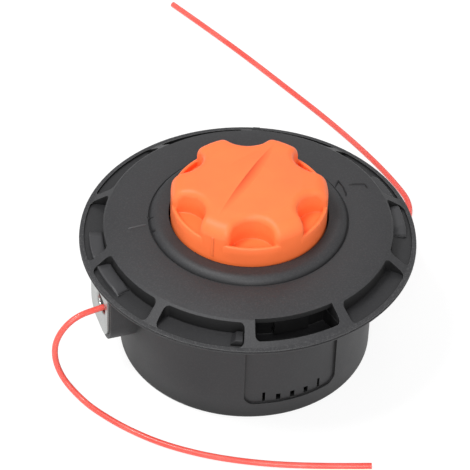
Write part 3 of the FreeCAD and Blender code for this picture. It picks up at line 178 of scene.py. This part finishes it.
def place_camera():
    """The photograph's view of the head."""
    sideways = Vector((math.cos(CAMERA_TURN), math.sin(CAMERA_TURN), 0))
    forward = Vector((-math.sin(CAMERA_TURN), math.cos(CAMERA_TURN), 0))
    back = -forward * math.cos(CAMERA_RISE) + Vector((0, 0, math.sin(CAMERA_RISE)))
    upward = back.cross(sideways)
    right = sideways * math.cos(CAMERA_ROLL) + upward * math.sin(CAMERA_ROLL)
    up = upward * math.cos(CAMERA_ROLL) - sideways * math.sin(CAMERA_ROLL)
    camera = bpy.data.objects.new("camera", bpy.data.cameras.new("camera"))
    camera.data.sensor_width = SENSOR_WIDTH
    camera.data.lens = SENSOR_WIDTH * FOCAL_PIXELS / PICTURE_PIXELS
    camera.data.clip_end = 20
    place = back * CAMERA_DISTANCE + right * CAMERA_RIGHT + up * CAMERA_UP
    axes = Matrix((right, up, back)).transposed().to_4x4()
    camera.matrix_world = Matrix.Translation(place) @ axes
    bpy.context.collection.objects.link(camera)
    bpy.context.scene.camera = camera


# Node helpers

class Nodes:
    """A short way to build a material's node tree."""

    def __init__(self, name):
        self.material = bpy.data.materials.new(name)
        self.material.use_nodes = True
        self.tree = self.material.node_tree
        self.shader = self.tree.nodes["Principled BSDF"]
        self.output = self.tree.nodes["Material Output"]
        self.place = self.add("ShaderNodeTexCoord").outputs["Object"]

    def add(self, kind, **values):
        node = self.tree.nodes.new(kind)
        for key, value in values.items():
            setattr(node, key, value)
        return node

    def link(self, source, target):
        self.tree.links.new(source, target)

    def put(self, socket, value):
        """A number, a colour or another node's output into a socket."""
        if isinstance(value, bpy.types.NodeSocket):
            self.link(value, socket)
        else:
            socket.default_value = value

    def shade(self, name, value):
        """The same, into one of the shader's own sockets."""
        self.put(self.shader.inputs[name], value)

    def math(self, operation, *values):
        node = self.add("ShaderNodeMath", operation=operation)
        for socket, value in zip(node.inputs, values):
            self.put(socket, value)
        return node.outputs[0]

    def noise(self, scale, detail=3.0, rough=0.5, stretch=None):
        place = self.place
        if stretch:
            mapping = self.add("ShaderNodeMapping")
            mapping.inputs["Scale"].default_value = stretch
            self.link(place, mapping.inputs["Vector"])
            place = mapping.outputs["Vector"]
        node = self.add("ShaderNodeTexNoise")
        self.link(place, node.inputs["Vector"])
        node.inputs["Scale"].default_value = scale
        node.inputs["Detail"].default_value = detail
        node.inputs["Roughness"].default_value = rough
        return node.outputs["Fac"]

    def span(self, value, low, high, new_low, new_high):
        """A value mapped from one range to another, clamped."""
        node = self.add("ShaderNodeMapRange")
        for socket, number in zip(node.inputs, (value, low, high, new_low, new_high)):
            self.put(socket, number)
        return node.outputs["Result"]

    def mix(self, amount, first, second):
        """One colour faded into another."""
        node = self.add("ShaderNodeMix", data_type="RGBA")
        self.put(node.inputs["Factor"], amount)
        first_colour, second_colour = node.inputs[6], node.inputs[7]
        self.put(first_colour, first)
        self.put(second_colour, second)
        return node.outputs[2]

    def bump(self, height, distance, strength=1.0, normal=None):
        node = self.add("ShaderNodeBump")
        node.inputs["Strength"].default_value = strength
        node.inputs["Distance"].default_value = distance
        self.link(height, node.inputs["Height"])
        if normal:
            self.link(normal, node.inputs["Normal"])
        return node.outputs["Normal"]

    def parts(self, vector):
        """The X, Y and Z of a vector."""
        node = self.add("ShaderNodeSeparateXYZ")
        self.link(vector, node.inputs[0])
        return tuple(node.outputs)

    def true_normal(self):
        return self.add("ShaderNodeNewGeometry").outputs["True Normal"]

    def from_axis(self):
        """A point's distance from the Z axis."""
        x, y, _ = self.parts(self.place)
        square = self.math("ADD", self.math("MULTIPLY", x, x), self.math("MULTIPLY", y, y))
        return self.math("SQRT", square)

    def rounded(self, radius):
        """The surface's normal with its sharp edges rounded off."""
        node = self.add("ShaderNodeBevel", samples=6)
        node.inputs["Radius"].default_value = radius
        return node.outputs["Normal"]

    def hidden(self, distance):
        """How enclosed a point is, from 0 in the open to 1 deep in a recess."""
        node = self.add("ShaderNodeAmbientOcclusion", samples=8)
        node.inputs["Distance"].default_value = distance
        return self.span(node.outputs["AO"], 0.55, 0.97, 1.0, 0.0)

    def upright(self, level, wall):
        """One number on level surfaces and another on walls."""
        steepness = self.math("ABSOLUTE", self.parts(self.true_normal())[2])
        return self.span(steepness, 0.25, 0.7, wall, level)

    def edges(self, rounded):
        """How close a point is to a sharp edge, from 0 to 1."""
        node = self.add("ShaderNodeVectorMath", operation="DOT_PRODUCT")
        self.link(rounded, node.inputs[0])
        self.link(self.true_normal(), node.inputs[1])
        return self.span(node.outputs["Value"], 0.985, 0.8, 0.0, 1.0)

    def clouded(self, colour):
        """A plastic's colour with faint clouds, and the clouds."""
        cloud = self.noise(45, 4, 0.55)
        faded = self.span(cloud, 0.35, 0.65, 0.0, 1.0)
        return self.mix(faded, colour, scaled(colour, CLOUD_TONE)), cloud

    def fine_grain(self, normal=None):
        """The bump of a spark-eroded mould."""
        return self.bump(self.noise(2600, 2, 0.5), GRAIN_DEPTH, 0.5, normal)


# Materials

def moulded_plastic(name, colour, worn_and_highlit, roughness, edge=0.0, wear_and_highlight=0.0, recess_shade=0.0, grain=0.0,
                    rim=0.0):
    """Moulded plastic: spark-eroded grain, cloudy gloss, scuffs.

    Sharp edges are rounded by the size called edge, and lightened as wear and as a painted
    highlight. Painted shade darkens recesses, and grain speckles the surface. Outside the
    radius called rim, edges and grain are more worn and highlighted, and inside it the walls
    of the windows get painted shade.
    """
    m = Nodes(name)
    shade_tone = scaled(colour, 0.1)
    radius = m.from_axis() if rim else None
    outside = m.span(radius, rim, rim + MM, 0.0, 1.0) if rim else 0.0
    base, cloud = m.clouded(colour)
    scratches = m.span(m.noise(220, 6, 0.7, stretch=(1.0, 3.0, 0.6)), 0.68, 0.8, 0.0, 0.22)
    base = m.mix(scratches, base, worn_and_highlit)
    if grain:
        speckle = m.span(m.noise(1500, 4, 0.7), 0.48, 0.68, 0.0, grain)
        speckle = m.math("MULTIPLY", speckle, m.math("MULTIPLY_ADD", outside, RIM_GRAIN, 1.0))
        base = m.mix(speckle, base, worn_and_highlit)
    rounded = None
    # Edges lightened as real wear and as a painted highlight along them
    if edge:
        rounded = m.rounded(edge)
        patchy = m.span(m.noise(150, 4, 0.6), 0.35, 0.65, 0.45, 1.0)
        rubbed_and_highlit = m.math("MULTIPLY", m.edges(rounded), patchy)
        rubbed_and_highlit = m.math("MULTIPLY", rubbed_and_highlit, m.math("MULTIPLY_ADD", outside, RIM_WEAR_AND_HIGHLIGHT, wear_and_highlight))
        base = m.mix(rubbed_and_highlit, base, worn_and_highlit)
    # Painted shade in recesses, weaker on level surfaces than on walls
    if recess_shade:
        faced = m.upright(LEVEL_RECESS_SHADE * recess_shade, recess_shade)
        base = m.mix(m.math("MULTIPLY", m.hidden(RECESS_REACH), faced), base, shade_tone)
    # Painted shade on the walls of the windows inside the rim
    if rim:
        outer, inner = rim - WINDOW_START, rim - WINDOW_END
        window_wall_shade = m.math("MULTIPLY", m.span(radius, outer, outer + MM, WINDOW_SHADE, 0.0),
                           m.span(radius, inner, inner + MM, 0.0, 1.0))
        base = m.mix(m.math("MULTIPLY", window_wall_shade, m.upright(0.0, 1.0)), base, shade_tone)
    m.shade("Base Color", base)
    gloss = m.span(cloud, 0.3, 0.7, roughness - 0.05, roughness + 0.06)
    m.shade("Roughness", m.math("ADD", gloss, m.math("MULTIPLY", scratches, 0.15)))
    m.shade("Normal", m.bump(cloud, 0.2 * MM, 0.12, m.fine_grain(rounded)))
    m.shade("IOR", PLASTIC_IOR)
    return m.material


def crease_orange():
    """The knob's plastic, a little deeper on the crease's steep side as painted shade."""
    m = Nodes("crease_orange")
    crease_shade = m.add("ShaderNodeAttribute", attribute_name="shade").outputs["Fac"]
    base, cloud = m.clouded(KNOB_COLOUR)
    m.shade("Base Color", m.mix(m.math("MULTIPLY", crease_shade, 0.9), base, KNOB_CREASE_SHADE))
    m.shade("Roughness", m.span(cloud, 0.3, 0.7, 0.45, 0.56))
    m.shade("Normal", m.fine_grain())
    m.shade("IOR", PLASTIC_IOR)
    return m.material


def metal(name, colour, roughness, stretch):
    """Bare metal with fine drawn lines and slightly uneven gloss."""
    m = Nodes(name)
    lines = m.noise(900, 4, 0.6, stretch=stretch)
    tarnish = m.span(m.noise(120, 3, 0.5), 0.35, 0.7, 0.0, 0.6)
    m.shade("Base Color", m.mix(tarnish, colour, scaled(colour, 0.8)))
    m.shade("Metallic", 1.0)
    m.shade("Roughness", m.span(lines, 0.3, 0.7, roughness - 0.07, roughness + 0.09))
    m.shade("Normal", m.bump(lines, GRAIN_DEPTH, 0.5))
    return m.material


def threaded_steel():
    """Turned steel, with the left-hand thread in its bore as a bump, and painted shade in the
    thread's grooves.
    """
    m = Nodes("threaded_steel")
    x, y, height = m.parts(m.place)
    angle = m.math("DIVIDE", m.math("ARCTAN2", y, x), 2 * math.pi)
    turns = m.math("ADD", m.math("DIVIDE", height, THREAD_PITCH), angle)
    ridge = m.span(m.math("PINGPONG", turns, 0.5), 0.06, 0.44, 0.0, 1.0)
    in_bore = m.span(m.from_axis(), BORE_EDGE, BORE_EDGE + 0.3 * MM, 1.0, 0.0)
    groove_shade = m.math("MULTIPLY", in_bore, m.span(ridge, 0.0, 0.7, 0.85, 0.0))
    m.shade("Base Color", m.mix(groove_shade, rgb(170, 172, 175), rgb(70, 70, 72)))
    m.shade("Metallic", 1.0)
    lines = m.noise(900, 4, 0.6, stretch=(1.0, 1.0, 12.0))
    m.shade("Roughness", m.span(lines, 0.3, 0.7, 0.24, 0.4))
    thread = m.math("MULTIPLY", ridge, in_bore)
    thread = m.bump(thread, THREAD_DEPTH, 1.0, m.rounded(0.3 * MM))
    m.shade("Normal", m.bump(lines, GRAIN_DEPTH, 0.5, thread))
    return m.material


def nylon_line():
    """Extruded nylon monofilament: smooth, a little milky, lightly dragged."""
    m = Nodes("nylon_line")
    drag = m.noise(1400, 3, 0.6)
    cloud = m.span(m.noise(70, 2, 0.5), 0.35, 0.65, 0.0, 1.0)
    m.shade("Base Color", m.mix(cloud, rgb(239, 86, 75), rgb(243, 101, 90)))
    m.shade("Roughness", m.span(drag, 0.3, 0.7, 0.28, 0.42))
    m.shade("Normal", m.bump(drag, 0.02 * MM, 0.4))
    m.shade("Subsurface Weight", 0.25)
    m.shade("Subsurface Radius", (2.0 * MM, 0.8 * MM, 0.5 * MM))
    m.shade("Coat Weight", 0.15)
    return m.material


# Pieces

def paint(node, material):
    """Give a CAD node one material."""
    piece = NODES[node]
    piece.data.materials.clear()
    piece.data.materials.append(material)


def ridden(piece, body, material):
    """A piece with its material, on the body that it moves with."""
    piece.data.materials.append(material)
    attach(piece, body)
    return piece


def new_piece(name, verts, faces):
    """A smooth mesh piece."""
    mesh = bpy.data.meshes.new(name)
    mesh.from_pydata(verts, [], faces)
    mesh.polygons.foreach_set("use_smooth", [True] * len(mesh.polygons))
    mesh.update()
    piece = bpy.data.objects.new(name, mesh)
    bpy.context.collection.objects.link(piece)
    return piece


def around_axis(radius, turn, height):
    """A point at a radius and a height in millimetres, turned round the Z axis."""
    return (radius * MM * math.cos(turn), radius * MM * math.sin(turn), height * MM)


def grid_faces(first, rows, columns):
    """Quads between neighbours of a grid of points that starts at one index."""
    return [(first + i * columns + j, first + (i + 1) * columns + j,
             first + (i + 1) * columns + j + 1, first + i * columns + j + 1)
            for i in range(rows - 1) for j in range(columns - 1)]


def on_top(node, x, y):
    """The highest point of a CAD node's surface at a place."""
    high_above = Vector((x, y, 0.2))
    found, spot, _, _ = NODES[node].ray_cast(high_above, Vector((0, 0, -1)))
    if not found:
        raise RuntimeError(f"nothing of {node} under {x}, {y}")
    return spot


def add_line(name, route, material):
    """One free cutting line: a smooth curve through its route points."""
    curve = bpy.data.curves.new(name + "_curve", "CURVE")
    curve.dimensions = "3D"
    curve.resolution_u = 10
    curve.bevel_depth = LINE_RADIUS
    curve.bevel_resolution = 5
    curve.use_fill_caps = True
    spline = curve.splines.new("NURBS")
    spline.points.add(len(route) - 1)
    for point, place in zip(spline.points, route):
        point.co = (*(v * MM for v in place), 1.0)
    spline.order_u = 3
    spline.use_endpoint_u = True
    piece = bpy.data.objects.new(name + "_cord", curve)
    bpy.context.collection.objects.link(piece)
    ridden(piece, "housing", material)
    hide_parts(name)


def knob_crease(material):
    """The crease across the knob: a low swell that ends at a sharp line."""
    turn, aside, reach, rise = math.radians(45), 1.6 * MM, 24.5 * MM, 0.9 * MM
    soft_width, soft_end, steep_width, steep_end = 9.0 * MM, 0.8 * MM, 3.8 * MM, 0.4 * MM
    side_sink, end_sink = 0.05 * MM, 0.02 * MM
    rows = 73
    # From -1 at the soft side's foot, over 0 on the sharp line, to 1 at the steep side's foot
    steps = [-1 + 0.1 * i for i in range(9)] + [-0.12, -0.06, -0.02, 0.0, 0.02, 0.07, 0.14]
    steps += [0.22 + 0.078 * i for i in range(11)]
    along = Vector((math.cos(turn), math.sin(turn), 0))
    left = Vector((-along.y, along.x, 0))
    verts, shades = [], []
    for i in range(rows):
        share = -1 + 2 * i / (rows - 1)
        swell = math.cos(share * math.pi / 2) ** 1.3 if abs(share) < 1 else 0.0
        for step in steps:
            if step < 0:
                width = soft_width * swell + soft_end
                lift = (1 + step) ** 2 * (1 - 2 * step)
                shade = 0.0
            else:
                width = steep_width * swell ** 0.5 + steep_end
                lift = (1 - step) ** 2
                shade = swell * max(0.0, 1 - step) ** 1.6
            place = along * (share * reach) + left * (aside - step * width)
            spot = on_top("bump_knob", place.x, place.y)
            spot.z += rise * swell * lift - side_sink * abs(step) ** 4 - end_sink * (1 - swell)
            verts.append(spot)
            shades.append(shade)
    piece = new_piece("knob_crease", verts, grid_faces(0, rows, len(steps)))
    # How much painted shade the crease material puts on each point, most on the steep side
    attribute = piece.data.attributes.new("shade", "FLOAT", "POINT")
    attribute.data.foreach_set("value", shades)
    ridden(piece, "spool_group", material)


def hollow_walls(material):
    """The thin walls in front of the finger hollows, run out into the lobes beside them."""
    # Millimetres and degrees
    outer, inner, half, columns = 30.03, 28.62, 23.0, 25
    lobe_half, lobe_inset = 21.5, 0.25
    verts, faces = [], []
    for hollow in range(HOLLOWS):
        first = len(verts)
        for i in range(columns):
            aside = half * (-1 + 2 * i / (columns - 1))
            turn = math.radians(HOLLOW_TURN + 360 / HOLLOWS * hollow + aside)
            face = outer - lobe_inset * max(0.0, (abs(aside) - lobe_half) / (half - lobe_half))
            section = ((face, 66.5), (face, 69.5), (face - 0.12, 69.85), (face - 0.4, 70.07),
                       (inner + 0.45, 70.07), (inner + 0.1, 69.85), (inner, 69.4), (inner, 67.6))
            verts += [around_axis(radius, turn, height) for radius, height in section]
        faces += grid_faces(first, columns, len(section))
    ridden(new_piece("hollow_walls", verts, faces), "spool_group", material)


def spring_coils(material):
    """The spring under the spool, with a closed turn at each end; the real one shortens with the
    knob, this mesh keeps one length.
    """
    # Millimetres
    bottom, top, radius, wire, closed = 4.5, 28.4, 17.5, 0.9, 1.85
    turns, per_turn, sides = 7, 30, 10
    open_pitch = (top - bottom - 2 * wire - 2 * closed) / (turns - 2)
    verts, faces = [], []
    for i in range(turns * per_turn + 1):
        turn = i / per_turn
        height = bottom + wire + closed * (min(turn, 1.0) + max(turn - turns + 1, 0.0))
        height += open_pitch * min(max(turn - 1.0, 0.0), turns - 2)
        for side in range(sides):
            around = 2 * math.pi * side / sides
            verts.append(around_axis(radius + wire * math.cos(around), 2 * math.pi * turn,
                                     height + wire * math.sin(around)))
    for i in range(turns * per_turn):
        here, ahead = i * sides, (i + 1) * sides
        faces += [(here + j, ahead + j, ahead + (j + 1) % sides, here + (j + 1) % sides)
                  for j in range(sides)]
    last = len(verts) - sides
    faces += [tuple(range(sides)), tuple(last + j for j in reversed(range(sides)))]
    piece = ridden(new_piece("spring_coils", verts, faces), "housing", material)
    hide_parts("compression_spring")
    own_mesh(piece)


def boss_pads(material):
    """The pads over the eyelet bosses, with soft edges and sloped ends."""
    # Millimetres and degrees
    half, end_slope, notch_half, columns = 18.2, 4.0, 3.0, 49
    foot, level, rise, notch_rise = 50.2, 50.95, 1.6, 1.25
    # Radius, and height over the pad's top
    section = ((55.75, -9), (55.75, -1.0), (55.75, -0.5), (55.95, -0.14), (56.3, 0), (56.8, 0.02),
               (60.1, 0.02), (60.6, 0), (60.95, -0.14), (61.15, -0.5), (61.15, -1.0), (61.2, -9))
    verts, faces = [], []
    for middle in (0.0, 180.0):
        first = len(verts)
        for i in range(columns):
            aside = half * (-1 + 2 * i / (columns - 1))
            slope = min(1.0, max(0.0, (half - abs(aside)) / end_slope)) ** 0.8
            top = level + (notch_rise if abs(aside) < notch_half else rise) * slope
            turn = math.radians(middle + aside)
            verts += [around_axis(radius, turn, max(foot, top + over)) for radius, over in section]
        faces += grid_faces(first, columns, len(section))
    ridden(new_piece("boss_pads", verts, faces), "housing", material)


def stroke_verts(stroke, profile):
    """Points of one raised stroke that lies on the cover and tapers at its ends."""
    width, height, stretches = 0.42 * MM, 0.4 * MM, 6
    blunt, widening = 0.2, 6
    path = [Vector(around_axis(r, math.radians(a), 0)) for r, a in stroke]
    spots = [path[0]]
    for start, end in zip(path, path[1:]):
        spots += [start.lerp(end, step / stretches) for step in range(1, stretches + 1)]
    verts = []
    for i, spot in enumerate(spots):
        ahead = spots[min(i + 1, len(spots) - 1)] - spots[max(i - 1, 0)]
        side = Vector((-ahead.y, ahead.x, 0)).normalized()
        share = i / (len(spots) - 1)
        taper = min(1.0, widening * min(share, 1 - share) + blunt) ** 0.5
        for aside, lift in profile:
            place = spot + side * (aside * width * taper)
            top = on_top("windowed_cover", place.x, place.y)
            top.z += height * lift * taper
            verts.append(top)
    return verts


def cover_marks(materials):
    """Moulded marks that show where the cover's latches close: generic strokes."""
    profile = ((-1.0, -0.3), (-0.7, 0.5), (-0.25, 1.0), (0.25, 1.0), (0.7, 0.5), (1.0, -0.3))
    for name, look, strokes in MARKS:
        verts, faces = [], []
        for stroke in strokes:
            raised = stroke_verts(stroke, profile)
            faces += grid_faces(len(verts), len(raised) // len(profile), len(profile))
            verts += raised
        ridden(new_piece(name, verts, faces), "housing", materials[look])


# Studio

def white_surroundings():
    """White to the camera, and a plain soft light on the head."""
    world = bpy.data.worlds.new("studio")
    bpy.context.scene.world = world
    world.use_nodes = True
    nodes, links = world.node_tree.nodes, world.node_tree.links
    light = nodes["Background"]
    light.inputs["Color"].default_value = WHITE
    light.inputs["Strength"].default_value = SURROUNDINGS
    seen = nodes.new("ShaderNodeBackground")
    seen.inputs["Color"].default_value = WHITE
    path = nodes.new("ShaderNodeLightPath")
    mix = nodes.new("ShaderNodeMixShader")
    links.new(path.outputs["Is Camera Ray"], mix.inputs[0])
    links.new(light.outputs[0], mix.inputs[1])
    links.new(seen.outputs[0], mix.inputs[2])
    links.new(mix.outputs[0], nodes["World Output"].inputs["Surface"])


def pale_floor():
    """White paper that keeps the head's shadow."""
    reach, below = 3.0, -0.2 * MM
    mesh = bpy.data.meshes.new("floor")
    corners = [(x * reach, y * reach, below) for x, y in ((-1, -1), (1, -1), (1, 1), (-1, 1))]
    mesh.from_pydata(corners, [], [(0, 1, 2, 3)])
    floor = bpy.data.objects.new("floor", mesh)
    bpy.context.collection.objects.link(floor)
    m = Nodes("floor_paper")
    m.shade("Base Color", (0.9, 0.9, 0.9, 1))
    m.shade("Roughness", 0.9)
    m.shade("Normal", m.bump(m.noise(800, 2), 0.1 * MM, 0.1))
    glow = m.add("ShaderNodeEmission")
    glow.inputs["Color"].default_value = WHITE
    glow.inputs["Strength"].default_value = FLOOR_WHITE
    path = m.add("ShaderNodeLightPath").outputs
    mirrored = m.math("MAXIMUM", path["Is Glossy Ray"], path["Is Transmission Ray"])
    seen = m.math("MAXIMUM", path["Is Camera Ray"], mirrored)
    blend = m.add("ShaderNodeMixShader")
    m.put(blend.inputs[0], m.math("MULTIPLY", seen, FLOOR_SHARE))
    m.link(m.shader.outputs[0], blend.inputs[1])
    m.link(glow.outputs[0], blend.inputs[2])
    m.link(blend.outputs[0], m.output.inputs["Surface"])
    floor.data.materials.append(m.material)


def soft_lamps():
    """Round lamps that face the head."""
    for name, place, size, power in LAMPS:
        lamp = bpy.data.lights.new(name, "AREA")
        lamp.shape = "DISK"
        lamp.size = size
        lamp.energy = power
        holder = bpy.data.objects.new(name, lamp)
        holder.location = place
        holder.rotation_euler = (LAMP_AIM - Vector(place)).to_track_quat("-Z", "Y").to_euler()
        bpy.context.collection.objects.link(holder)


place_camera()

materials = {name: moulded_plastic(name, **look) for name, look in PLASTICS.items()}
materials.update({name: metal(name, *look) for name, look in METALS.items()})
materials["threaded_steel"] = threaded_steel()
materials["nylon_line"] = nylon_line()

for name, (length, route) in LINES.items():
    add_line(name, route, materials["nylon_line"])
for node, look in PAINTED.items():
    paint(node, materials[look])

bpy.context.view_layer.update()
knob_crease(crease_orange())
hollow_walls(materials["knob_orange"])
spring_coils(materials["spring_steel"])
boss_pads(materials["pad_black_painted_light"])
cover_marks(materials)

white_surroundings()
pale_floor()
soft_lamps()
bpy.context.scene.view_settings.view_transform = "Standard"
